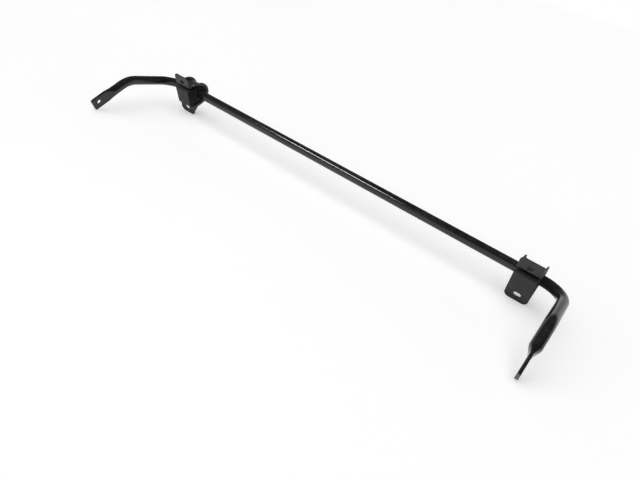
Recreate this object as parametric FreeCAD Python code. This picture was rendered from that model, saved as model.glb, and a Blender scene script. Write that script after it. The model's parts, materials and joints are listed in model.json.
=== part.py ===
"""Front sway bar with its two chassis clamps, lying at rest on a level surface.

The bar is one steel tube. Its middle runs along X, and each end bends forward (-Y) into an arm that
rises to a knee and falls to a tip that is pressed flat and drilled for a link. A clamp sits on the bar
inboard of each bend: a moulded rubber bush round the tube, held in a stamped saddle bracket with two
slotted tabs.

Everything is drawn in the bar's own frame first: its axis on X, `reach` forward of the axis, `height`
above it. The last step turns the whole part about X until the lower tabs and the tips touch the surface
they rest on.
"""
import FreeCAD, Part
import math
import os

# Bar, millimetres and degrees
bar_diameter = 22.0
bar_wall = 3.1
half_span = 546.5            # middle of the bar to the plane of an arm
main_bend_radius = 51.0      # bends are measured on the tube's centreline
inner_arm_length = 148.7     # bar's axis to the knee's corner
inner_arm_rise = 26.6
knee_bend_radius = 69.0
outer_arm_length = 108.7     # knee's corner to the tip
outer_arm_fall = 8.4

# Pressed end of an arm
end_thickness = 2 * bar_wall
end_width = 29.5
end_flat_length = 38.0
end_taper_length = 24.0
tip_width = 25.0
tip_corner_radius = 3.0
eye_diameter = 10.5
eye_to_tip = 17.0
taper_steps = 6
pressed_shut = 0.85          # part of the taper at which the tube's two walls meet

# Clamps
clamp_offset = 472.5         # middle of the bar to the middle of a clamp
clamp_turns = {"left": 0.0, "right": -4.5}   # about +X from square with the arms, as they lie
face_reach = 31.0            # bar's axis to the plane the tabs bolt against

# Bracket
sheet = 3.0
saddle_radius = 20.5         # inside the arch
upper_flare = 15.7           # of each wall, from straight forward
lower_flare = 6.3
tab_bend_radius = 5.0
bracket_half_width = 24.0
lip_height = 5.5             # of the stiffening lip, above the sheet's outer face
web_start = 15.0             # bar's axis to where a lip widens into the web behind the lower tab
web_depth = 41.7             # bar's axis down to where that web ends in the tab
upper_tab_height = 57.5      # bar's axis to each tab's end
lower_tab_depth = 50.5
upper_corner_radius = 8.0
lower_corner_radius = 11.0
slot_width = 10.5
slot_length = 15.5
upper_slot_height = 41.5
lower_slot_depth = 34.3

# Bush
bore_clearance = 0.05
seat_clearance = 0.1
bush_flare = 3.5
bush_half_width = 21.5
boss_diameter = 31.0
foot_half_width = 23.5
foot_half_height = 22.8
foot_reach = 37.5            # bar's axis to the bush's free flat face
foot_depth = 10.5
foot_edge_radius = 2.4
split_width = 0.6

X_AXIS = FreeCAD.Vector(1, 0, 0)
HALF_ROOT_TWO = math.sqrt(0.5)


def at(x, reach, height):
    """Point in the bar's frame."""
    return FreeCAD.Vector(x, -reach, height)


def ahead(angle):
    """Unit direction in an arm's plane, `angle` degrees above straight forward."""
    return at(0, math.cos(math.radians(angle)), math.sin(math.radians(angle)))


def rounded_edges(corners, radii):
    """Straight runs from corner to corner, joined by tangent arcs of the given radii at the inner corners."""
    edges = []
    start = corners[0]
    for before, corner, after, radius in zip(corners, corners[1:], corners[2:], radii):
        inward = (before - corner).normalize()
        outward = (after - corner).normalize()
        half_turn = (math.pi - inward.getAngle(outward)) / 2
        setback = radius * math.tan(half_turn)
        middle = (inward + outward).normalize() * (radius / math.cos(half_turn) - radius)
        arc_start = corner + inward * setback
        arc_end = corner + outward * setback
        edges.append(Part.LineSegment(start, arc_start).toShape())
        edges.append(Part.Arc(arc_start, corner + middle, arc_end).toShape())
        start = arc_end
    edges.append(Part.LineSegment(start, corners[-1]).toShape())
    return edges


def rounded_face(corners, radii):
    """Flat face with every corner rounded; the outline starts and ends in the middle of its last side."""
    seam = (corners[0] + corners[-1]) / 2
    return Part.Face(Part.Wire(rounded_edges([seam, *corners, seam], radii)))


def stadium(centre, length, width, along, across):
    """Flat slot outline with round ends, `length` end to end in direction `along`."""
    run = along * (length - width) / 2
    side = across * width / 2
    cap = along * length / 2
    edges = [
        Part.LineSegment(centre - run + side, centre + run + side).toShape(),
        Part.Arc(centre + run + side, centre + cap, centre + run - side).toShape(),
        Part.LineSegment(centre + run - side, centre - run - side).toShape(),
        Part.Arc(centre - run - side, centre - cap, centre - run + side).toShape(),
    ]
    return Part.Wire(edges)


# ---------------------------------------------------------------- bar

def arm_points(side):
    """Corner on the bar's axis, knee and tip of one arm; side is -1 or +1 along X."""
    corner = at(side * half_span, 0, 0)
    knee = corner + ahead(inner_arm_rise) * inner_arm_length
    tip = knee + ahead(-outer_arm_fall) * outer_arm_length
    return corner, knee, tip


def tube_path(side_run):
    """Centreline of the round tube, stopping `side_run` short of both tips."""
    corners = []
    for side in (-1, 1):
        corner, knee, tip = arm_points(side)
        end = tip - ahead(-outer_arm_fall) * side_run
        corners += [end, knee, corner] if side < 0 else [corner, knee, end]
    radii = [knee_bend_radius, main_bend_radius, main_bend_radius, knee_bend_radius]
    return Part.Wire(rounded_edges(corners, radii))


def swept_tube(radius):
    """Round solid of the given radius along the centreline, from taper to taper."""
    path = tube_path(end_flat_length + end_taper_length)
    start = path.OrderedEdges[0].valueAt(path.OrderedEdges[0].FirstParameter)
    circle = Part.Wire(Part.Circle(start, -ahead(-outer_arm_fall), radius).toShape())
    return path.makePipeShell([circle], True, False)


def end_section(centre, pressed, inset):
    """Outline across a pressed end: round where `pressed` is 0, flat with round edges where it is 1."""
    across = ahead(90 - outer_arm_fall)
    radius = bar_diameter / 2 - inset
    flat_half = end_thickness / 2 - inset
    edge_half = end_width / 2 - inset
    face_half = radius + (flat_half - radius) * pressed
    side_half = radius + (edge_half - radius) * pressed
    knuckle_x = radius * HALF_ROOT_TWO * (1 - pressed) + flat_half * pressed
    knuckle_w = radius * HALF_ROOT_TWO * (1 - pressed) + (edge_half - flat_half) * pressed

    def spot(x, w):
        return centre + X_AXIS * x + across * w

    knuckles = [spot(x * knuckle_x, w * knuckle_w) for x, w in ((1, -1), (1, 1), (-1, 1), (-1, -1))]
    middles = [spot(face_half, 0), spot(0, side_half), spot(-face_half, 0), spot(0, -side_half)]
    edges = []
    for number, middle in enumerate(middles):
        first, last = knuckles[number], knuckles[(number + 1) % 4]
        straight = pressed == 1 and number % 2 == 0
        curve = Part.LineSegment(first, last) if straight else Part.Arc(first, middle, last)
        edges.append(curve.toShape())
    return Part.Wire(edges)


def taper(tip, inset, last):
    """Loft from the round tube towards the flat, as far as the fraction `last` of the taper."""
    forward = ahead(-outer_arm_fall)
    start = tip - forward * (end_flat_length + end_taper_length)
    sections = []
    for step in range(taper_steps + 1):
        fraction = last * step / taper_steps
        pressed = fraction * fraction * (3 - 2 * fraction)
        sections.append(end_section(start + forward * end_taper_length * fraction, pressed, inset))
    return Part.makeLoft(sections, True, False)


def flat_end(tip):
    """Flat part of an end, trimmed to its narrower nose and drilled."""
    forward = ahead(-outer_arm_fall)
    across = ahead(90 - outer_arm_fall)
    root = tip - forward * end_flat_length
    blank = Part.Face(end_section(root, 1, 0)).extrude(forward * end_flat_length)
    eye = tip - forward * eye_to_tip
    outline = [
        root - across * end_width / 2,
        eye - across * end_width / 2,
        tip - across * tip_width / 2,
        tip + across * tip_width / 2,
        eye + across * end_width / 2,
        root + across * end_width / 2,
    ]
    radii = [0.1, end_width, tip_corner_radius, tip_corner_radius, end_width, 0.1]
    nose = rounded_face(outline, radii)
    nose.translate(-X_AXIS * end_thickness)
    drill = Part.makeCylinder(eye_diameter / 2, 2 * end_thickness, eye - X_AXIS * end_thickness, X_AXIS)
    return blank.common(nose.extrude(X_AXIS * 2 * end_thickness)).cut(drill)


def make_bar():
    tube = swept_tube(bar_diameter / 2)
    hollow = swept_tube(bar_diameter / 2 - bar_wall)
    for side in (-1, 1):
        tip = arm_points(side)[2]
        tube = tube.fuse([taper(tip, 0, 1), flat_end(tip)])
        hollow = hollow.fuse(taper(tip, bar_wall, pressed_shut))
    return tube.cut(hollow)


# ---------------------------------------------------------------- clamp

def wall_height(radius, flare, reach):
    """Height at `reach` of a wall that leaves an arch of the given radius and flares forward."""
    angle = math.radians(flare)
    return (radius + reach * math.sin(angle)) / math.cos(angle)


def arch_corner(radius, upper, lower):
    """Point behind the bar where an arch's two walls would meet, so that the arch is that corner's round."""
    middle = math.radians(180 + (upper - lower) / 2)
    half_angle = math.radians(90 - (upper + lower) / 2)
    distance = radius / math.cos(half_angle)
    return at(0, distance * math.cos(middle), distance * math.sin(middle))


def bracket_line(reach_up, reach_down):
    """The sheet's inner face in section, from the upper tab round the arch to the lower tab."""
    upper = at(0, face_reach, wall_height(saddle_radius, upper_flare, face_reach))
    lower = at(0, face_reach, -wall_height(saddle_radius, lower_flare, face_reach))
    corners = [
        at(0, face_reach, reach_up),
        upper,
        arch_corner(saddle_radius, upper_flare, lower_flare),
        lower,
        at(0, face_reach, -reach_down),
    ]
    return rounded_edges(corners, [tab_bend_radius, saddle_radius, tab_bend_radius])


def slab(face, low, high):
    """Extrude a face drawn at x = 0 from `low` to `high` along X."""
    placed = face.copy()
    placed.translate(X_AXIS * low)
    return placed.extrude(X_AXIS * (high - low))


def band(edges, depth):
    """Face between a section line and its parallel `depth` further out from the bush."""
    return Part.Wire(edges).makeOffset2D(-depth, 0, True, True, False)


def lower_web():
    """Face at x = 0 that carries a lip on from the lower wall, past the bend, to the lower tab's back."""
    core_radius = saddle_radius + sheet / 2
    edge_radius = saddle_radius + sheet + lip_height
    bend_reach = face_reach - tab_bend_radius
    bend_depth = wall_height(saddle_radius, lower_flare, face_reach) + tab_bend_radius
    tab_core = face_reach - sheet / 2
    corners = [
        at(0, web_start, -wall_height(edge_radius, lower_flare, web_start)),
        at(0, web_start, -wall_height(core_radius, lower_flare, web_start)),
        at(0, bend_reach, -wall_height(core_radius, lower_flare, bend_reach)),
        at(0, tab_core, -bend_depth),
        at(0, tab_core, -web_depth),
    ]
    return Part.Face(Part.makePolygon([*corners, corners[0]]))


def make_bracket():
    line = bracket_line(upper_tab_height, lower_tab_depth)
    strap = slab(band(line, sheet), -bracket_half_width, bracket_half_width)
    arch_only = line[2:-2]
    lip = band(arch_only, sheet + lip_height)
    for low in (-bracket_half_width, bracket_half_width - sheet):
        strap = strap.fuse([slab(face, low, low + sheet) for face in (lip, lower_web())])

    outline = [
        at(-bracket_half_width, 0, upper_tab_height),
        at(-bracket_half_width, 0, -lower_tab_depth),
        at(bracket_half_width, 0, -lower_tab_depth),
        at(bracket_half_width, 0, upper_tab_height),
    ]
    radii = [upper_corner_radius, lower_corner_radius, lower_corner_radius, upper_corner_radius]
    blank = rounded_face(outline, radii)
    blank.translate(at(0, -2 * face_reach, 0))
    strap = strap.common(blank.extrude(at(0, 3 * face_reach, 0)))

    for height in (upper_slot_height, -lower_slot_depth):
        centre = at(0, face_reach - 2 * sheet, height)
        slot = stadium(centre, slot_length, slot_width, X_AXIS, at(0, 0, 1))
        strap = strap.cut(Part.Face(slot).extrude(at(0, 3 * sheet, 0)))
    return strap


def make_bush():
    radius = saddle_radius - seat_clearance
    edge = wall_height(radius, bush_flare, face_reach)
    outline = [at(0, face_reach, -edge), arch_corner(radius, bush_flare, bush_flare), at(0, face_reach, edge)]
    seat = rounded_face(outline, [foot_edge_radius, radius, foot_edge_radius])
    body = slab(seat, -bush_half_width, bush_half_width)

    foot_low = at(-foot_half_width, foot_reach, -foot_half_height)
    foot = Part.makeBox(2 * foot_half_width, foot_depth, 2 * foot_half_height, foot_low)
    foot = foot.makeFillet(foot_edge_radius, foot.Edges)
    boss = Part.makeCylinder(boss_diameter / 2, 2 * foot_half_width, at(-foot_half_width, 0, 0), X_AXIS)
    bush = body.fuse([foot, boss])

    bore_radius = bar_diameter / 2 + bore_clearance
    bore = Part.makeCylinder(bore_radius, 2 * half_span, at(-half_span, 0, 0), X_AXIS)
    split_low = at(-half_span, split_width / 2, 0)
    split = Part.makeBox(2 * half_span, split_width, 2 * saddle_radius, split_low)
    return bush.cut([bore, split])


# ---------------------------------------------------------------- assembly

def make_parts():
    """Every node by name, in the bar's frame."""
    parts = {"sway_bar": make_bar()}
    makers = {"bush": make_bush, "bracket": make_bracket}
    for side, direction in (("left", -1), ("right", 1)):
        for name, make in makers.items():
            shape = make()
            shape.rotate(FreeCAD.Vector(), X_AXIS, clamp_turns[side])
            shape.translate(X_AXIS * direction * clamp_offset)
            parts[f"{side}_{name}"] = shape
    return parts


def resting_tilt():
    """Turn about +X that brings a tip's lower corner level with a square clamp's lower tab."""
    tip = arm_points(1)[2]
    corner = tip - ahead(90 - outer_arm_fall) * tip_width / 2
    return math.degrees(math.atan2(corner.z + lower_tab_depth, -corner.y - face_reach))


def stand(parts):
    """Tilt the part to how it rests, with the middle of its footprint at the origin. Returns the shift."""
    for shape in parts.values():
        shape.rotate(FreeCAD.Vector(), X_AXIS, resting_tilt())
    box = Part.makeCompound(list(parts.values())).optimalBoundingBox(False, False)
    shift = FreeCAD.Vector(0, -box.Center.y, -box.ZMin)
    for shape in parts.values():
        shape.translate(shift)
    return shift


def main():
    parts = make_parts()
    stand(parts)
    os.makedirs("parts", exist_ok=True)
    for name, shape in parts.items():
        shape.exportStep(f"parts/{name}.step")


if __name__ == "__main__":
    main()
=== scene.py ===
"""Looks of the sway bar: the painted tube, its two bushes and its two stamped brackets.

Every length is in metres, but for the camera's lens and sensor, and every angle is in radians. Shapes are
drawn in a local frame: x runs along the bar, y backward and z up, square with the arms or with a clamp. They
are then turned and moved to where the frame's joints and mounts say.
"""
import json
import math

import bmesh
import bpy
from mathutils import Matrix, Vector


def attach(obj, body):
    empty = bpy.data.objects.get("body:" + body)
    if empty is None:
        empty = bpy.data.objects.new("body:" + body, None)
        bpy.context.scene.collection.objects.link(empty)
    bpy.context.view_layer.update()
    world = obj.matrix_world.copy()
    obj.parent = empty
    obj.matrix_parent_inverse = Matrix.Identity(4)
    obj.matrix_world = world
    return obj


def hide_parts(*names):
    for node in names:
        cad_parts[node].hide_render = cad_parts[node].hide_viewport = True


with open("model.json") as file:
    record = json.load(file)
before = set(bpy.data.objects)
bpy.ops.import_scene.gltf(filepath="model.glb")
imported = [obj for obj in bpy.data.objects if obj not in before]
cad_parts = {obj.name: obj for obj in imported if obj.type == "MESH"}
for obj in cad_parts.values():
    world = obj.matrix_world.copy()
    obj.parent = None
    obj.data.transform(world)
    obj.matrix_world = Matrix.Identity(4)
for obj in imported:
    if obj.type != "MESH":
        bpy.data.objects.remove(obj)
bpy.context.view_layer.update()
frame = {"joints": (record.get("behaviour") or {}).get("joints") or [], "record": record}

MM = 0.001
RECORD = frame["record"]
MOUNTS = {mount["name"]: mount for mount in RECORD["mounts"]}
JOINTS = {joint["name"]: joint for joint in frame["joints"]}
SIDES = {"left": -1, "right": 1}

# Bar; the tube is a hair under its 11 mm radius, so that the faceted skin stays inside the true one
TUBE_RADIUS = 10.96 * MM
TUBE_WALL = 3.1 * MM
MAIN_BEND_RADIUS = 51 * MM
INNER_ARM = 148.7 * MM
INNER_RISE = math.radians(26.6)
KNEE_RADIUS = 69 * MM
OUTER_ARM = 108.66 * MM
OUTER_FALL = math.radians(8.4)
END_WIDTH = 29.5 * MM
END_FLAT = 38 * MM
END_TAPER = 24 * MM
TIP_WIDTH = 25 * MM
TIP_CORNER = 3 * MM
EYE_RADIUS = MOUNTS["left_arm_eye"]["dims"]["r_mm"] * MM
EYE_TO_TIP = 17 * MM
HALF_SPAN = MOUNTS["right_arm_eye"]["pos_m"][0]

# Bracket
SHEET = 3 * MM
FACE_REACH = 31 * MM
SADDLE_RADIUS = 20.5 * MM
UPPER_FLARE = math.radians(15.7)
LOWER_FLARE = math.radians(6.3)
TAB_BEND = 5 * MM
BRACKET_HALF_WIDTH = 24 * MM
LIP_HEIGHT = 5.47 * MM
WEB_START = 15 * MM
WEB_DEPTH = 41.7 * MM
UPPER_TAB = 57.5 * MM
LOWER_TAB = 50.5 * MM
UPPER_CORNER = 8 * MM
LOWER_CORNER = 11 * MM
SLOT_WIDTH = 10.5 * MM
SLOT_LENGTH = 15.5 * MM
UPPER_SLOT = 41.5 * MM
LOWER_SLOT = 34.3 * MM

# Bush
SEAT_RADIUS = 20.4 * MM
BORE_RADIUS = 11.05 * MM
BUSH_FLARE = math.radians(3.5)
BUSH_HALF_WIDTH = 21.5 * MM
BOSS_RADIUS = 15.5 * MM
FOOT_HALF_WIDTH = 23.5 * MM
FOOT_HALF_HEIGHT = 22.8 * MM
FOOT_REACH = 37.5 * MM
FOOT_DEPTH = 10.5 * MM
FOOT_EDGE = 2.4 * MM


# ---------------------------------------------------------------- placing

def face_lean(side):
    """Angle by which a clamp's mounting face leans down from straight forward."""
    axis = MOUNTS[f"{side}_bracket_face"]["axis"]
    return math.atan2(-axis[2], -axis[1])


def axis_point(side):
    """Where a clamp's middle meets the bar's axis."""
    return Vector(JOINTS[f"{side}_clamp_turn"]["pos_m"])


def clamp_matrix(side):
    return Matrix.Translation(axis_point(side)) @ Matrix.Rotation(face_lean(side), 4, "X")


def bar_matrix():
    """The bar is square with the left clamp."""
    middle = axis_point("left")
    middle.x = 0
    return Matrix.Translation(middle) @ Matrix.Rotation(face_lean("left"), 4, "X")


# ---------------------------------------------------------------- mesh helpers

SIDE_X = Vector((1, 0, 0))
UP = Vector((0, 0, 1))
BACK = Vector((0, 1, 0))
SHARP_ANGLE = math.radians(35)


def heading(angle):
    """Unit direction in an arm's plane, `angle` above straight forward."""
    return Vector((0, -math.cos(angle), math.sin(angle)))


def smoothstep(value):
    value = min(max(value, 0.0), 1.0)
    return value * value * (3 - 2 * value)


def mesh_object(name, points, faces):
    mesh = bpy.data.meshes.new(name)
    mesh.from_pydata([tuple(point) for point in points], [], faces)
    shape = bmesh.new()
    shape.from_mesh(mesh)
    bmesh.ops.recalc_face_normals(shape, faces=shape.faces)
    shape.to_mesh(mesh)
    shape.free()
    obj = bpy.data.objects.new(name, mesh)
    bpy.context.scene.collection.objects.link(obj)
    return obj


def skin(name, rings, cap="fan"):
    """Closed skin through equal rings; a "ladder" cap is quads across a ring of two matched rows."""
    count = len(rings[0])
    points = [point for ring in rings for point in ring]
    faces = []
    for row in range(len(rings) - 1):
        for spot in range(count):
            following = (spot + 1) % count
            low, high = row * count, (row + 1) * count
            faces.append((low + spot, low + following, high + following, high + spot))
    for start in (0, (len(rings) - 1) * count):
        if cap == "fan":
            faces.append(tuple(range(start, start + count)))
        else:
            half = count // 2
            for spot in range(half - 1):
                far = count - 1 - spot
                faces.append((start + spot, start + spot + 1, start + far - 1, start + far))
    return mesh_object(name, points, faces)


def prism(name, outline, travel):
    """Solid swept by a flat outline along `travel`."""
    return skin(name, [outline, [point + travel for point in outline]])


def slab(name, outline, half_width):
    """Solid swept to both sides along X by an outline in the middle."""
    return prism(name, [point - SIDE_X * half_width for point in outline], SIDE_X * 2 * half_width)


def apply_modifiers(obj):
    bpy.context.view_layer.update()
    evaluated = obj.evaluated_get(bpy.context.evaluated_depsgraph_get())
    mesh = bpy.data.meshes.new_from_object(evaluated)
    mesh.name = obj.name
    obj.modifiers.clear()
    obj.data = mesh


def combine(obj, other, operation):
    """Boolean of two solids; the second is used up."""
    modifier = obj.modifiers.new(operation, "BOOLEAN")
    modifier.object = other
    modifier.operation = operation
    modifier.solver = "EXACT"
    apply_modifiers(obj)
    bpy.data.objects.remove(other)


def smooth_flats(obj):
    """Smooth shading that keeps the larger faces flat."""
    obj.data.shade_smooth()
    normals = obj.modifiers.new("normals", "WEIGHTED_NORMAL")
    normals.mode = "FACE_AREA_WITH_ANGLE"
    normals.keep_sharp = True
    apply_modifiers(obj)


def round_edges(obj, width, segments=2):
    """Small rounds on every sharp edge, then smooth shading that keeps flat faces flat."""
    modifier = obj.modifiers.new("rounds", "BEVEL")
    modifier.width = width
    modifier.segments = segments
    modifier.limit_method = "ANGLE"
    modifier.angle_limit = SHARP_ANGLE
    modifier.use_clamp_overlap = True
    apply_modifiers(obj)
    smooth_flats(obj)


def arc_corner(before, corner, after, radius, steps):
    """Points of the tangent arc that rounds one corner."""
    inward = (before - corner).normalized()
    outward = (after - corner).normalized()
    half_turn = (math.pi - inward.angle(outward)) / 2
    centre = corner + (inward + outward).normalized() * (radius / math.cos(half_turn))
    start = corner + inward * radius * math.tan(half_turn) - centre
    axis = start.cross(corner - centre)
    turns = [2 * half_turn * step / steps for step in range(steps + 1)]
    return [centre + Matrix.Rotation(turn, 3, axis) @ start for turn in turns]


def rounded_outline(corners, radii, steps=12):
    """Closed outline with every corner rounded."""
    points = []
    for number, (corner, radius) in enumerate(zip(corners, radii)):
        before = corners[number - 1]
        after = corners[(number + 1) % len(corners)]
        points += arc_corner(before, corner, after, radius, steps)
    return points


def stadium(centre, length, width, along, across, steps=16):
    """Closed outline of a slot with round ends."""
    points = []
    for sign in (1, -1):
        for step in range(steps + 1):
            angle = math.pi * (step / steps - 0.5)
            run = (length - width) / 2 + width / 2 * math.cos(angle)
            points.append(centre + sign * (along * run + across * width / 2 * math.sin(angle)))
    return points


def circle(centre, radius, first, second, steps=64):
    turns = [2 * math.pi * step / steps for step in range(steps)]
    return [centre + radius * (first * math.cos(turn) + second * math.sin(turn)) for turn in turns]


def settle(obj, name, matrix, body, node):
    """Move a finished piece into the frame, and let it ride and stand for its CAD node."""
    obj.name = name
    obj.data.name = name
    obj.data.transform(matrix)
    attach(obj, body)
    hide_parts(node)
    return obj


# ---------------------------------------------------------------- bar

QUARTER_STEPS = 16
MAIN_STEP = 14 * MM
ARM_STEP = 6 * MM
BEND_STEP = math.radians(2.5)
TAPER_STEP = 1 * MM
FLAT_STEP = 1.5 * MM
NOSE_STEPS = 12
NOSE_CORNER_STEPS = 8
NO_HEIGHT = 1e-9
UNTRIMMED = END_WIDTH           # wider than half of any section, so that it trims nothing
PUNCH_REACH = 10 * MM
SEAM_GAP = 0.3 * MM
SEAM_DEPTH = 0.6 * MM
SEAM_OVERRUN = 1 * MM
BAR_EDGE = 0.4 * MM


def end_section(pressed):
    """Section as (thickness, width) pairs: round where pressed is 0, flat with round edges where it is 1."""
    flat_half = TUBE_WALL
    edge_half = END_WIDTH / 2
    knuckle = TUBE_RADIUS * math.sqrt(0.5)
    knuckle_x = knuckle + (flat_half - knuckle) * pressed
    knuckle_w = knuckle + (edge_half - flat_half - knuckle) * pressed
    face = TUBE_RADIUS + (flat_half - TUBE_RADIUS) * pressed
    edge = TUBE_RADIUS + (edge_half - TUBE_RADIUS) * pressed

    def bow(rise, half_chord, top):
        """Arc over a chord that lies `rise` up, from -half_chord to half_chord; its top is at `top`."""
        height = top - rise
        shares = [2 * step / QUARTER_STEPS - 1 for step in range(QUARTER_STEPS)]
        if height < NO_HEIGHT:
            return [(rise, half_chord * share) for share in shares]
        radius = (half_chord ** 2 + height ** 2) / (2 * height)
        reach = math.atan2(half_chord, radius - height)
        return [(top - radius + radius * math.cos(reach * s), radius * math.sin(reach * s)) for s in shares]

    face_bow = bow(knuckle_x, knuckle_w, face)
    edge_bow = bow(knuckle_w, knuckle_x, edge)
    pairs = list(face_bow)
    pairs += [(-across, rise) for rise, across in edge_bow]
    pairs += [(-rise, -across) for rise, across in face_bow]
    pairs += [(across, -rise) for rise, across in edge_bow]
    return pairs


def trimmed_half_width(to_tip):
    """Half the width that the trimmed nose keeps at a distance from its tip."""
    half = (TIP_WIDTH + (END_WIDTH - TIP_WIDTH) * to_tip / EYE_TO_TIP) / 2
    if to_tip < TIP_CORNER:
        half -= TIP_CORNER - math.sqrt(TIP_CORNER ** 2 - (TIP_CORNER - to_tip) ** 2)
    return half


def half_stations():
    """(centre, tangent, heading angle, pressed, most half width) from the bar's middle to the right tip."""
    stations = []

    def run(start, direction, length, angle, step, pressed=lambda share: 0.0):
        count = max(1, round(length / step))
        for number in range(count):
            share = number / count
            stations.append((start + direction * length * share, direction, angle, pressed(share), UNTRIMMED))
        return start + direction * length

    # Middle of the bar
    inner, outer = heading(INNER_RISE), heading(-OUTER_FALL)
    place = run(Vector(), SIDE_X, HALF_SPAN - MAIN_BEND_RADIUS, INNER_RISE, MAIN_STEP)

    # Bend into the arm
    count = round(math.pi / 2 / BEND_STEP)
    centre = place + inner * MAIN_BEND_RADIUS
    for number in range(count):
        turn = math.pi / 2 * number / count
        radial = SIDE_X * math.sin(turn) - inner * math.cos(turn)
        tangent = SIDE_X * math.cos(turn) + inner * math.sin(turn)
        stations.append((centre + radial * MAIN_BEND_RADIUS, tangent, INNER_RISE, 0.0, UNTRIMMED))

    # Inner arm and knee
    knee_turn = INNER_RISE + OUTER_FALL
    setback = KNEE_RADIUS * math.tan(knee_turn / 2)
    place = centre + SIDE_X * MAIN_BEND_RADIUS
    place = run(place, inner, INNER_ARM - MAIN_BEND_RADIUS - setback, INNER_RISE, ARM_STEP)
    centre = place - heading(INNER_RISE + math.pi / 2) * KNEE_RADIUS
    count = round(knee_turn / BEND_STEP)
    for number in range(count):
        angle = INNER_RISE - knee_turn * number / count
        place = centre + heading(angle + math.pi / 2) * KNEE_RADIUS
        stations.append((place, heading(angle), angle, 0.0, UNTRIMMED))

    # Outer arm, taper, pressed end and its trimmed nose
    place = centre + heading(math.pi / 2 - OUTER_FALL) * KNEE_RADIUS
    place = run(place, outer, OUTER_ARM - setback - END_FLAT - END_TAPER, -OUTER_FALL, ARM_STEP)
    place = run(place, outer, END_TAPER, -OUTER_FALL, TAPER_STEP, smoothstep)
    place = run(place, outer, END_FLAT - EYE_TO_TIP, -OUTER_FALL, FLAT_STEP, lambda share: 1.0)
    tip = place + outer * EYE_TO_TIP
    to_tip = [EYE_TO_TIP + (TIP_CORNER - EYE_TO_TIP) * number / NOSE_STEPS for number in range(NOSE_STEPS)]
    corner_turns = [math.pi / 2 * number / NOSE_CORNER_STEPS for number in range(NOSE_CORNER_STEPS + 1)]
    to_tip += [TIP_CORNER * (1 - math.sin(turn)) for turn in corner_turns]
    stations += [(tip - outer * gap, outer, -OUTER_FALL, 1.0, trimmed_half_width(gap)) for gap in to_tip]
    return stations


def bar_rings():
    half = []
    for centre, tangent, angle, pressed, limit in half_stations():
        width_way = heading(angle + math.pi / 2)
        thick_way = tangent.cross(width_way)
        section = [(a, min(max(b, -limit), limit)) for a, b in end_section(pressed)]
        half.append([centre + thick_way * a + width_way * b for a, b in section])
    mirrored = [[Vector((-p.x, p.y, p.z)) for p in ring] for ring in half[:0:-1]]
    return mirrored + half


def pierce_end(bar, side):
    """Pierce one pressed end's eye, and leave the seam where the tube's two walls meet."""
    forward, across = heading(-OUTER_FALL), heading(math.pi / 2 - OUTER_FALL)
    tip = SIDE_X * side * HALF_SPAN + heading(INNER_RISE) * INNER_ARM + forward * OUTER_ARM
    eye = tip - forward * EYE_TO_TIP
    half_gap = SEAM_GAP / 2
    steps = [
        (-PUNCH_REACH, EYE_RADIUS),
        (-half_gap, EYE_RADIUS),
        (-half_gap, EYE_RADIUS + SEAM_DEPTH),
        (half_gap, EYE_RADIUS + SEAM_DEPTH),
        (half_gap, EYE_RADIUS),
        (PUNCH_REACH, EYE_RADIUS),
    ]
    punch = skin("punch", [circle(eye + SIDE_X * x, radius, forward, across) for x, radius in steps])
    combine(bar, punch, "DIFFERENCE")

    reach = across * (END_WIDTH / 2 - TUBE_WALL)
    strip = [
        tip - reach - forward * SEAM_DEPTH,
        tip + reach - forward * SEAM_DEPTH,
        tip + reach + forward * SEAM_OVERRUN,
        tip - reach + forward * SEAM_OVERRUN,
    ]
    combine(bar, slab("seam", strip, half_gap), "DIFFERENCE")


def make_bar():
    bar = skin("bar", bar_rings())
    for side in SIDES.values():
        pierce_end(bar, side)
    round_edges(bar, BAR_EDGE)
    return settle(bar, "bar_tube", bar_matrix(), "bar", "sway_bar")


# ---------------------------------------------------------------- bracket

FLAT_HALF = 19 * MM
LIP_BEND = 5 * MM
LIP_RUN_OUT = 15 * MM
LIP_UPRIGHT = (math.radians(50), math.radians(90))   # turns at which a lip starts and ends growing in height
WEB_BLEND = 8 * MM
WEB_ROUND = 14 * MM
WEB_ROUND_STEPS = 8
WEB_INSET = 0.05 * MM           # keeps the web's faces clear of the lip's, so that the two join cleanly
HALF_COLUMNS = 30
ROW_STEP = 1.6 * MM
TAB_CORNER_STEPS = 10
TAB_BEND_STEPS = 8
ARCH_STEPS = 52
BRACKET_EDGE = 0.5 * MM


def wall_height(radius, flare, reach):
    """Height at `reach` of a wall that leaves an arch of the given radius and flares forward."""
    return (radius + reach * math.sin(flare)) / math.cos(flare)


def arch_corner(radius, upper, lower):
    """Point behind the bar where an arch's two walls would meet."""
    middle = math.pi + (upper - lower) / 2
    distance = radius / math.cos(math.pi / 2 - (upper + lower) / 2)
    return Vector((0, -distance * math.cos(middle), distance * math.sin(middle)))


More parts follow.
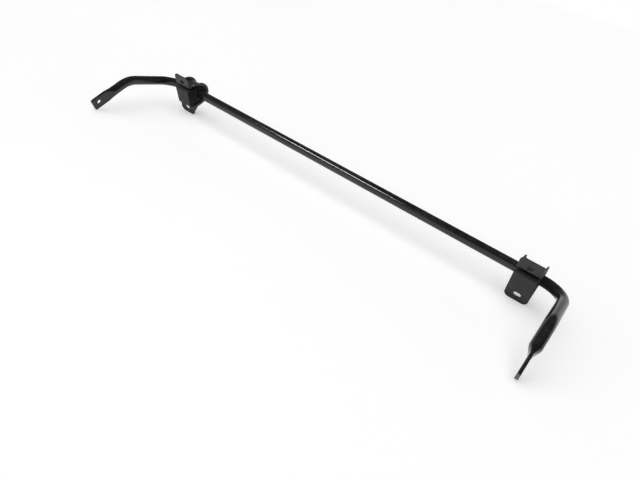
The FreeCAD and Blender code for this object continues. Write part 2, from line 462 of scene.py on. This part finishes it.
def sheet_rows():
    """(point, outward normal, lip angle, half width) along the sheet's inner face, upper tab to lower tab."""
    upper = Vector((0, -FACE_REACH, wall_height(SADDLE_RADIUS, UPPER_FLARE, FACE_REACH)))
    lower = Vector((0, -FACE_REACH, -wall_height(SADDLE_RADIUS, LOWER_FLARE, FACE_REACH)))
    behind = arch_corner(SADDLE_RADIUS, UPPER_FLARE, LOWER_FLARE)
    top = Vector((0, -FACE_REACH, UPPER_TAB))
    bottom = Vector((0, -FACE_REACH, -LOWER_TAB))
    upper_bend = arc_corner(top, upper, behind, TAB_BEND, TAB_BEND_STEPS)
    arch = arc_corner(upper, behind, lower, SADDLE_RADIUS, ARCH_STEPS)
    lower_bend = arc_corner(behind, lower, bottom, TAB_BEND, TAB_BEND_STEPS)

    def between(start, end):
        """Inner points of a straight run, without its two ends."""
        count = max(2, round((end - start).length / ROW_STEP))
        return [start.lerp(end, number / count) for number in range(1, count)]

    def tab(end, corner, radius):
        """Points from a tab's end to its bend, close together round the corner."""
        down = (corner - end).normalized()
        turns = [math.pi / 2 * step / TAB_CORNER_STEPS for step in range(TAB_CORNER_STEPS + 1)]
        near = [end + down * radius * (1 - math.cos(turn)) for turn in turns]
        return near + between(near[-1], corner)

    line = tab(top, upper_bend[0], UPPER_CORNER) + upper_bend
    line += between(upper_bend[-1], arch[0]) + arch + between(arch[-1], lower_bend[0])
    line += lower_bend + tab(bottom, lower_bend[-1], LOWER_CORNER)[::-1]

    rows = []
    for number, point in enumerate(line):
        before, after = line[max(number - 1, 0)], line[min(number + 1, len(line) - 1)]
        normal = SIDE_X.cross((after - before).normalized())
        bend_end = upper_bend[-1] if point.z > 0 else lower_bend[0]
        past_bend = point.y - bend_end.y
        lip = math.pi / 2 * smoothstep(past_bend / LIP_RUN_OUT)
        half_width = BRACKET_HALF_WIDTH
        for end, radius in ((UPPER_TAB, UPPER_CORNER), (LOWER_TAB, LOWER_CORNER)):
            gap = end - (point.z if end == UPPER_TAB else -point.z)
            if gap < radius:
                half_width -= radius - math.sqrt(max(radius ** 2 - (radius - gap) ** 2, 0))
        rows.append((point, normal, lip, half_width))
    return rows


def lip_profile(lip, half_width):
    """(x, outward, turn) of the inner face, from the middle to an edge turned outward by the angle `lip`."""
    if lip == 0:
        return [(half_width * column / HALF_COLUMNS, 0.0, 0.0) for column in range(HALF_COLUMNS + 1)]
    bend = LIP_BEND * lip
    low, high = LIP_UPRIGHT
    rise = smoothstep((lip - low) / (high - low)) * (LIP_HEIGHT + SHEET - LIP_BEND)
    straight = LIP_BEND * math.cos(lip) / (1 + math.sin(lip)) + rise
    total = FLAT_HALF + bend + straight
    spots = []
    for column in range(HALF_COLUMNS + 1):
        along = total * column / HALF_COLUMNS
        turn = min(max((along - FLAT_HALF) / LIP_BEND, 0.0), lip)
        past = max(along - FLAT_HALF - bend, 0.0)
        x = min(along, FLAT_HALF) + LIP_BEND * math.sin(turn) + past * math.cos(turn)
        out = LIP_BEND * (1 - math.cos(turn)) + past * math.sin(turn)
        spots.append((x, out, turn))
    return spots


def bracket_ring(point, normal, lip, half_width):
    """Section of the sheet across the bracket: the inner face, then back along the outer face."""
    half = lip_profile(lip, half_width)
    spots = [(-x, out, -turn) for x, out, turn in half[:0:-1]] + half
    inner = [point + SIDE_X * x + normal * out for x, out, turn in spots]
    outer = [
        point + SIDE_X * (x - SHEET * math.sin(turn)) + normal * (out + SHEET * math.cos(turn))
        for x, out, turn in spots
    ]
    return inner + outer[::-1]


def lower_web(side_sign):
    """Plate that carries a lip on from the lower wall, past the bend, to the lower tab's back."""
    core, edge = SADDLE_RADIUS + SHEET / 2, SADDLE_RADIUS + SHEET + LIP_HEIGHT - WEB_INSET
    bend_reach = FACE_REACH - TAB_BEND
    tab_core = FACE_REACH - SHEET / 2
    bend_depth = wall_height(SADDLE_RADIUS, LOWER_FLARE, FACE_REACH) + TAB_BEND
    start, end = WEB_START - WEB_BLEND, FACE_REACH - SHEET
    slope = (WEB_DEPTH - wall_height(edge, LOWER_FLARE, WEB_START)) / (tab_core - WEB_START)
    foot = WEB_DEPTH - slope * SHEET / 2
    free_edge = arc_corner(
        Vector((0, -start, -wall_height(edge, LOWER_FLARE, start))),
        Vector((0, -WEB_START, -wall_height(edge, LOWER_FLARE, WEB_START))),
        Vector((0, -end, -foot)),
        WEB_ROUND,
        WEB_ROUND_STEPS,
    )
    outline = [
        Vector((0, -start, -wall_height(core, LOWER_FLARE, start))),
        Vector((0, -start, -wall_height(edge, LOWER_FLARE, start))),
        *free_edge,
        Vector((0, -tab_core, -WEB_DEPTH)),
        Vector((0, -tab_core, -bend_depth)),
        Vector((0, -bend_reach, -wall_height(core, LOWER_FLARE, bend_reach))),
    ]
    inner, outer = BRACKET_HALF_WIDTH - SHEET + WEB_INSET, BRACKET_HALF_WIDTH - WEB_INSET
    low, high = sorted((side_sign * inner, side_sign * outer))
    web = prism("web", [point + SIDE_X * low for point in outline], SIDE_X * (high - low))
    round_edges(web, BRACKET_EDGE)
    return web


def make_bracket(side):
    rings = [bracket_ring(*row) for row in sheet_rows()]
    bracket = skin("bracket", rings, cap="ladder")
    for height in (UPPER_SLOT, -LOWER_SLOT):
        centre = Vector((0, -FACE_REACH - SHEET, height))
        slot = stadium(centre, SLOT_LENGTH, SLOT_WIDTH, SIDE_X, UP)
        combine(bracket, prism("slot_cutter", slot, BACK * 3 * SHEET), "DIFFERENCE")
    round_edges(bracket, BRACKET_EDGE)
    for side_sign in SIDES.values():
        combine(bracket, lower_web(side_sign), "UNION")
    smooth_flats(bracket)
    body, node = f"{side}_clamp", f"{side}_bracket"
    return settle(bracket, f"{side}_saddle", clamp_matrix(side), body, node)


# ---------------------------------------------------------------- bush

FOOT_STEPS = 6
SEAT_STEPS = 48
BORE_STEPS = 96
BUSH_EDGE = 0.8 * MM
BOSS_EDGE = 0.9 * MM
FOOT_ROUND = 0.8 * FOOT_EDGE
CUT_HALF_WIDTH = 2 * FOOT_HALF_WIDTH
SPLIT_WIDTH = 0.6 * MM
SPLIT_REACH = 50 * MM
CREASE_ANGLE = math.radians(38)


def make_bush(side):
    edge = wall_height(SEAT_RADIUS, BUSH_FLARE, FACE_REACH)
    low, high = Vector((0, -FACE_REACH, -edge)), Vector((0, -FACE_REACH, edge))
    behind = arch_corner(SEAT_RADIUS, BUSH_FLARE, BUSH_FLARE)
    outline = [
        *arc_corner(behind, low, high, FOOT_EDGE, FOOT_STEPS),
        *arc_corner(low, high, behind, FOOT_EDGE, FOOT_STEPS),
        *arc_corner(high, behind, low, SEAT_RADIUS, SEAT_STEPS),
    ]
    bush = slab("bush", outline, BUSH_HALF_WIDTH)
    round_edges(bush, BUSH_EDGE, segments=3)

    front, rear = -FOOT_REACH, FOOT_DEPTH - FOOT_REACH
    foot_corners = [
        Vector((0, front, -FOOT_HALF_HEIGHT)),
        Vector((0, front, FOOT_HALF_HEIGHT)),
        Vector((0, rear, FOOT_HALF_HEIGHT)),
        Vector((0, rear, -FOOT_HALF_HEIGHT)),
    ]
    foot = slab("foot", rounded_outline(foot_corners, [FOOT_EDGE] * 4, FOOT_STEPS), FOOT_HALF_WIDTH)
    round_edges(foot, FOOT_ROUND, segments=4)
    combine(bush, foot, "UNION")

    boss = slab("boss", circle(Vector(), BOSS_RADIUS, BACK, UP), FOOT_HALF_WIDTH)
    round_edges(boss, BOSS_EDGE, segments=3)
    combine(bush, boss, "UNION")
    bore = circle(Vector(), BORE_RADIUS, BACK, UP, BORE_STEPS)
    combine(bush, slab("bore", bore, CUT_HALF_WIDTH), "DIFFERENCE")
    split = [
        Vector((0, -SPLIT_WIDTH / 2, 0)),
        Vector((0, SPLIT_WIDTH / 2, 0)),
        Vector((0, SPLIT_WIDTH / 2, SPLIT_REACH)),
        Vector((0, -SPLIT_WIDTH / 2, SPLIT_REACH)),
    ]
    combine(bush, slab("split", split, CUT_HALF_WIDTH), "DIFFERENCE")
    bush.data.shade_smooth()
    bush.data.set_sharp_from_angle(angle=CREASE_ANGLE)
    body, node = f"{side}_clamp", f"{side}_bush"
    return settle(bush, f"{side}_rubber", clamp_matrix(side), body, node)


# ---------------------------------------------------------------- materials

MASK_SAMPLES = 6


class Nodes:
    """Shader nodes of a material or world, put together one by one."""

    def __init__(self, owner):
        owner.use_nodes = True
        self.tree = owner.node_tree
        self.tree.nodes.clear()

    def add(self, kind, settings=None, **inputs):
        """New node; a value that is a socket is linked, any other is set."""
        node = self.tree.nodes.new(kind)
        for key, value in (settings or {}).items():
            setattr(node, key, value)
        for key, value in inputs.items():
            self.feed(node.inputs[key.replace("_", " ")], value)
        return node

    def feed(self, socket, value):
        if isinstance(value, bpy.types.NodeSocket):
            self.tree.links.new(value, socket)
        else:
            socket.default_value = value

    def math(self, operation, *values):
        node = self.add("ShaderNodeMath", {"operation": operation})
        for socket, value in zip(node.inputs, values):
            self.feed(socket, value)
        return node.outputs["Value"]

    def times(self, first, second):
        return self.math("MULTIPLY", first, second)

    def remap(self, value, low, high, out_low=0.0, out_high=1.0, curve="LINEAR"):
        """Value taken from the range low..high to the range out_low..out_high, and held there."""
        node = self.add("ShaderNodeMapRange", {"interpolation_type": curve, "clamp": True}, Value=value)
        for key, number in (("From Min", low), ("From Max", high), ("To Min", out_low), ("To Max", out_high)):
            node.inputs[key].default_value = number
        return node.outputs["Result"]


class Recipe(Nodes):
    """A surface's material: patterns and masks, and a finish made of them."""

    def __init__(self, name):
        self.material = bpy.data.materials.new(name)
        super().__init__(self.material)
        places = self.add("ShaderNodeTexCoord")
        self.place = places.outputs["Object"]
        facing = self.add("ShaderNodeSeparateXYZ", Vector=places.outputs["Normal"])
        self.facing = facing.outputs["Z"]
        self.sideways = self.math("ABSOLUTE", facing.outputs["X"])

    def stretched(self, stretch):
        """Object coordinates, scaled unevenly."""
        node = self.add("ShaderNodeMapping", Vector=self.place)
        node.inputs["Scale"].default_value = stretch
        return node.outputs["Vector"]

    def noise(self, scale, detail=3.0, rough=0.5, place=None, warp=0.0):
        """Cloudy pattern from 0 to 1, `scale` patches to the metre."""
        node = self.add(
            "ShaderNodeTexNoise",
            Vector=place or self.place,
            Scale=scale,
            Detail=detail,
            Roughness=rough,
            Distortion=warp,
        )
        return node.outputs["Fac"]

    def specks(self, scale, size):
        """1 inside small dots, 0 outside; `size` is a share of their spacing."""
        cells = self.add("ShaderNodeTexVoronoi", Vector=self.place, Scale=scale)
        return self.remap(cells.outputs["Distance"], size, size / 2)

    def layered(self, base, *layers):
        """Value with (mask, amount) layers added to it."""
        for mask, amount in layers:
            base = self.math("ADD", base, self.times(mask, amount))
        return base

    def blend(self, share, first, second):
        """Colour between two colours."""
        node = self.add("ShaderNodeMix", {"data_type": "RGBA"})
        colours = [socket for socket in node.inputs if socket.type == "RGBA"]
        self.feed(node.inputs[0], share)
        self.feed(colours[0], first)
        self.feed(colours[1], second)
        return [socket for socket in node.outputs if socket.type == "RGBA"][0]

    def edges(self, radius, low, high):
        """1 along edges sharper than `radius`, 0 on open faces."""
        rounded = self.add("ShaderNodeBevel", {"samples": MASK_SAMPLES}, Radius=radius).outputs["Normal"]
        flat = self.add("ShaderNodeNewGeometry").outputs["Normal"]
        dot = self.add("ShaderNodeVectorMath", {"operation": "DOT_PRODUCT"})
        self.feed(dot.inputs[0], rounded)
        self.feed(dot.inputs[1], flat)
        return self.remap(dot.outputs["Value"], high, low)

    def shaded_recesses(self, reach, low, high):
        """Mask for painted shade: 1 far into corners narrower than `reach`, 0 in the open."""
        node = self.add("ShaderNodeAmbientOcclusion", {"samples": MASK_SAMPLES}, Distance=reach)
        return self.remap(node.outputs["AO"], high, low)

    def bumps(self, *layers):
        """Stack of (height, depth in metres) layers."""
        normal = None
        for height, depth in layers:
            node = self.add("ShaderNodeBump", Height=height, Strength=1.0, Distance=depth)
            if normal is not None:
                self.feed(node.inputs["Normal"], normal)
            normal = node.outputs["Normal"]
        return normal

    def finish(self, **inputs):
        surface = self.add("ShaderNodeBsdfPrincipled", **inputs)
        self.add("ShaderNodeOutputMaterial", Surface=surface.outputs["BSDF"])
        return self.material


def grey(level, warmth=0.0):
    """Grey with a little more red than blue, or less where warmth is negative."""
    return (level * (1 + warmth), level, level * (1 - warmth), 1.0)


def bar_paint():
    """Gloss black paint over a bent and pressed steel tube."""
    r = Recipe("gloss_black_paint")
    patches = r.remap(r.noise(14, detail=4, rough=0.55), 0.35, 0.65)
    grain = r.noise(95, detail=6, rough=0.65)
    dust = r.times(r.remap(r.facing, 0.35, 1), r.remap(grain, 0.42, 0.72, 0.01, 0.15))
    dots = r.times(r.specks(520, size=0.16), r.remap(r.noise(40), 0.5, 0.7))
    streaks = r.noise(1, detail=7, rough=0.62, place=r.stretched((9, 150, 150)), warp=0.6)
    scuffs = r.times(r.remap(streaks, 0.6, 0.7), r.remap(r.noise(22), 0.45, 0.6))
    chips = r.remap(r.noise(330, detail=4, rough=0.6), 0.42, 0.58)
    wear = r.times(r.edges(1.0 * MM, 0.86, 0.985), chips)

    colour = r.blend(patches, grey(0.006, -0.04), grey(0.015, -0.02))
    colour = r.blend(dust, colour, grey(0.13, 0.05))
    colour = r.blend(r.times(dots, 0.5), colour, grey(0.2, 0.04))
    colour = r.blend(r.times(scuffs, 0.3), colour, grey(0.045, 0.02))
    colour = r.blend(r.times(wear, 0.7), colour, grey(0.16, 0.03))

    shine = r.remap(r.noise(30, detail=5, rough=0.6), 0.3, 0.7, 0.09, 0.17)
    shine = r.layered(shine, (dust, 0.9), (scuffs, 0.14), (wear, 0.2))
    relief = r.bumps(
        (r.noise(70, detail=2), 0.10 * MM),
        (r.noise(420, detail=2), 0.018 * MM),
        (scuffs, 0.006 * MM),
    )
    return r.finish(Base_Color=colour, Roughness=shine, Normal=relief, IOR=1.5)


def bracket_paint():
    """Satin black coating over pressed sheet steel, with painted shade in its narrow corners."""
    r = Recipe("satin_black_coating")
    patches = r.remap(r.noise(38, detail=5, rough=0.6), 0.32, 0.68)
    grain = r.noise(240, detail=6, rough=0.7)
    dust = r.times(r.remap(r.facing, 0.1, 1, 0.25, 1), r.remap(grain, 0.45, 0.72, 0, 0.09))
    # painted shade: mask of the sheet's narrow corners, used below to make the coating near-black and rougher
    # there, where shade falls
    recess_shade = r.shaded_recesses(32 * MM, 0.45, 0.74)
    chips = r.remap(r.noise(420, detail=5, rough=0.65), 0.4, 0.56)
    wear = r.times(r.edges(1.1 * MM, 0.84, 0.98), chips)
    drawn = r.noise(1, detail=6, rough=0.6, place=r.stretched((320, 26, 26)))

    colour = r.blend(patches, grey(0.010, -0.05), grey(0.020, -0.02))
    colour = r.blend(dust, colour, grey(0.16, 0.05))
    # painted shade: the coating turns near-black in narrow corners, where shade falls
    colour = r.blend(r.times(recess_shade, 0.85), colour, grey(0.005, 0.03))
    colour = r.blend(r.times(wear, 0.8), colour, grey(0.24, 0.03))

    shine = r.remap(r.noise(75, detail=6, rough=0.65), 0.3, 0.7, 0.27, 0.41)
    shine = r.layered(shine, (dust, 0.6), (wear, -0.08), (recess_shade, 0.5))
    relief = r.bumps(
        (r.noise(110, detail=2), 0.06 * MM),
        (drawn, 0.010 * MM),
        (r.noise(1100, detail=3, rough=0.6), 0.010 * MM),
    )
    return r.finish(Base_Color=colour, Roughness=shine, Normal=relief, IOR=1.5, Specular_IOR_Level=0.4)


def bush_rubber():
    """Moulded black rubber with a light bloom, and painted shade that makes the bush's two ends darkest."""
    r = Recipe("moulded_rubber")
    patches = r.remap(r.noise(60, detail=6, rough=0.65), 0.3, 0.7)
    # painted shade: faces turned sideways, the bush's two ends, are made near-black and lose most of their
    # bloom, as if in shade
    ends = r.remap(r.sideways, 0.5, 0.9)
    upward = r.remap(r.facing, -0.2, 1, 0.4, 1)
    bloom = r.remap(r.noise(190, detail=7, rough=0.7), 0.46, 0.74, 0, 0.16)
    bloom = r.times(r.times(bloom, upward), r.remap(ends, 0, 1, 1, 0.2))
    chips = r.remap(r.noise(300, detail=4), 0.42, 0.62)
    wear = r.times(r.edges(1.0 * MM, 0.86, 0.985), chips)

    colour = r.blend(patches, grey(0.018), grey(0.030))
    # painted shade: the bush's two ends turn near-black
    colour = r.blend(ends, colour, grey(0.005))
    colour = r.blend(bloom, colour, grey(0.08, 0.04))
    colour = r.blend(r.times(wear, 0.3), colour, grey(0.08, 0.02))

    shine = r.remap(r.noise(120, detail=5, rough=0.6), 0.3, 0.7, 0.5, 0.7)
    shine = r.layered(shine, (ends, 0.25))
    relief = r.bumps(
        (r.noise(160, detail=3), 0.10 * MM),
        (r.noise(1500, detail=3, rough=0.6), 0.03 * MM),
    )
    return r.finish(Base_Color=colour, Roughness=shine, Normal=relief, IOR=1.46, Specular_IOR_Level=0.3)


def floor_paper():
    """Pale paper with hardly any tone of its own."""
    r = Recipe("floor_paper")
    tone = r.remap(r.noise(0.7, detail=2), 0.3, 0.7, 0.83, 0.85)
    colour = r.add("ShaderNodeCombineColor", Red=tone, Green=tone, Blue=tone).outputs["Color"]
    return r.finish(Base_Color=colour, Roughness=0.7, Emission_Color=grey(1), Emission_Strength=FLOOR_GLOW)


def paint(obj, material):
    obj.data.materials.clear()
    obj.data.materials.append(material)


# ---------------------------------------------------------------- studio

CAMERA_PLACE = Vector((0.53553, -0.84511, 0.50711))
CAMERA_TURN = math.radians(28.393)
CAMERA_DROP = math.radians(30.448)
CAMERA_ROLL = math.radians(16.856)
CAMERA_LENS = 29.03             # millimetres, like the sensor
CAMERA_SENSOR = 36
CAMERA_SIGHT = 200
FLOOR_SIZE = 60.0
FLOOR_GLOW = 0.36
SKY_EDGE = (0.08, 0.36)         # heights, as sines, at which the surround starts and ends going dim
SKY_LOW = 1.0
SKY_HIGH = 0.04
SWEEP_RISE = 0.16               # how much higher the pale part reaches straight behind the object
KEY_PLACE = Vector((-0.6, -1.2, 2.2))
KEY_ENERGY = 2.4
KEY_SPREAD = math.radians(110)
STRIP_OFFSET = Vector((-0.762, -1.004, 1.115))
STRIP_ENERGY = 14
STRIP_LENGTH = 0.8
STRIP_WIDTH = 0.14


def add_floor():
    half = FLOOR_SIZE / 2
    corners = [(-half, -half, 0), (half, -half, 0), (half, half, 0), (-half, half, 0)]
    floor = mesh_object("floor", corners, [(0, 1, 2, 3)])
    paint(floor, floor_paper())


def add_sky():
    """Studio surround: pale low down, and higher up behind the object, and dim above that."""
    world = bpy.data.worlds.new("studio")
    bpy.context.scene.world = world
    sky = Nodes(world)
    direction = sky.add("ShaderNodeTexCoord").outputs["Generated"]
    split = sky.add("ShaderNodeSeparateXYZ", Vector=direction)
    behind = sky.math("MAXIMUM", split.outputs["Y"], 0.0)
    height = sky.math("MULTIPLY_ADD", behind, -SWEEP_RISE, split.outputs["Z"])
    level = sky.remap(height, *SKY_EDGE, SKY_LOW, SKY_HIGH, curve="SMOOTHSTEP")
    background = sky.add("ShaderNodeBackground", Color=grey(1), Strength=level)
    sky.add("ShaderNodeOutputWorld", Surface=background.outputs["Background"])


def add_light(name, kind, place, target, **settings):
    light = bpy.data.lights.new(name, kind)
    for key, value in settings.items():
        setattr(light, key, value)
    obj = bpy.data.objects.new(name, light)
    obj.location = place
    obj.rotation_euler = (target - place).to_track_quat("-Z", "Y").to_euler()
    bpy.context.scene.collection.objects.link(obj)
    return obj


def add_lights():
    """A very wide soft key above the front, and a slim strip whose reflection runs along the bar."""
    key = add_light("key", "SUN", KEY_PLACE, Vector(), energy=KEY_ENERGY, angle=KEY_SPREAD)
    key.visible_glossy = False
    aim = axis_point("left")
    aim.x = 0
    size = {"shape": "RECTANGLE", "size": STRIP_LENGTH, "size_y": STRIP_WIDTH}
    strip = add_light("strip", "AREA", aim + STRIP_OFFSET, aim, energy=STRIP_ENERGY, **size)
    strip.visible_diffuse = False


def add_camera():
    """Camera at the height, distance and slight roll of the view to be matched."""
    turn, drop, roll = CAMERA_TURN, CAMERA_DROP, CAMERA_ROLL
    forward = Vector((-math.sin(turn) * math.cos(drop), math.cos(turn) * math.cos(drop), -math.sin(drop)))
    level_right = Vector((math.cos(turn), math.sin(turn), 0))
    level_up = level_right.cross(forward)
    right = level_right * math.cos(roll) + level_up * math.sin(roll)
    up = right.cross(forward)
    camera = bpy.data.objects.new("camera", bpy.data.cameras.new("camera"))
    camera.data.lens = CAMERA_LENS
    camera.data.sensor_width = CAMERA_SENSOR
    camera.data.clip_end = CAMERA_SIGHT
    facing = Matrix((right, up, -forward)).transposed().to_4x4()
    camera.matrix_world = Matrix.Translation(CAMERA_PLACE) @ facing
    bpy.context.scene.collection.objects.link(camera)
    bpy.context.scene.camera = camera


# ---------------------------------------------------------------- assembly

gloss, satin, rubber = bar_paint(), bracket_paint(), bush_rubber()
paint(make_bar(), gloss)
for side_name in SIDES:
    paint(make_bracket(side_name), satin)
    paint(make_bush(side_name), rubber)

add_floor()
add_sky()
add_lights()
add_camera()
bpy.context.scene.view_settings.view_transform = "Standard"
